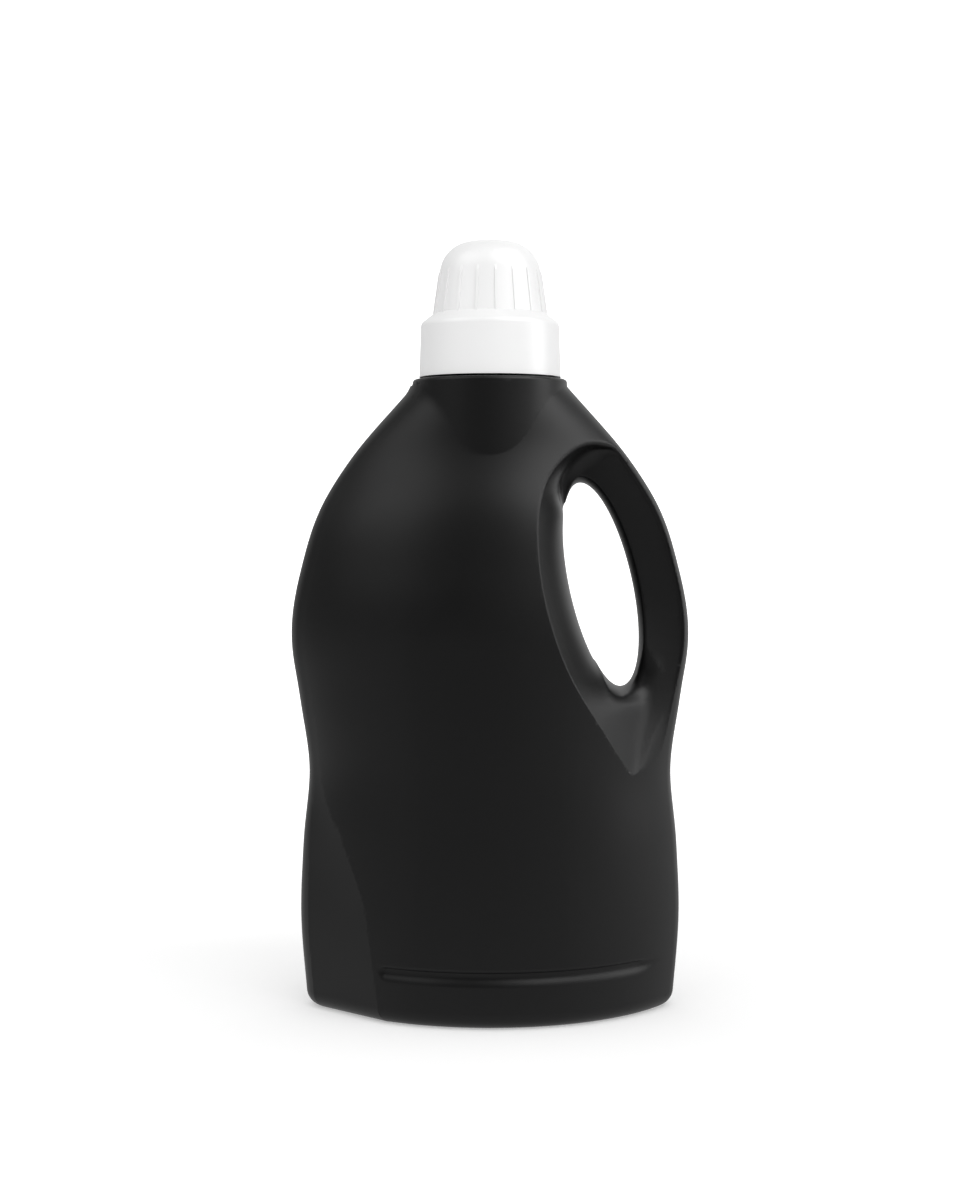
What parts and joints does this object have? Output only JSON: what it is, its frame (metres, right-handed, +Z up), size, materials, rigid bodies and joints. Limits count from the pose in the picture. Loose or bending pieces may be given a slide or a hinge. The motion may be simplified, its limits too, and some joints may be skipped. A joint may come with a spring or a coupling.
{
  "type": "detergent jug",
  "caption": "Blow-moulded black detergent jug with a hollow side handle, a press-in pour spout and a white ribbed dosing cap that screws off.",
  "frame": {"origin": "middle of the foot's standing plane", "axes": "+Z up along the neck, +X towards the handle, -Y the front panel"},
  "size_m": [0.1522, 0.09, 0.2924],
  "materials": {
    "bottle": "satin",
    "spout": "satin",
    "cap": "satin gloss"
  },
  "bodies": {
    "jug": {"bottle": "bottle", "pour_spout": "spout"},
    "cap": {"dosing_cap": "cap"}
  },
  "joints": [
    {"name": "cap_lift", "type": "slide", "parent": "jug", "child": "cap", "axis": [0, 0, 1], "range_m": [0, 0.06]}
  ]
}
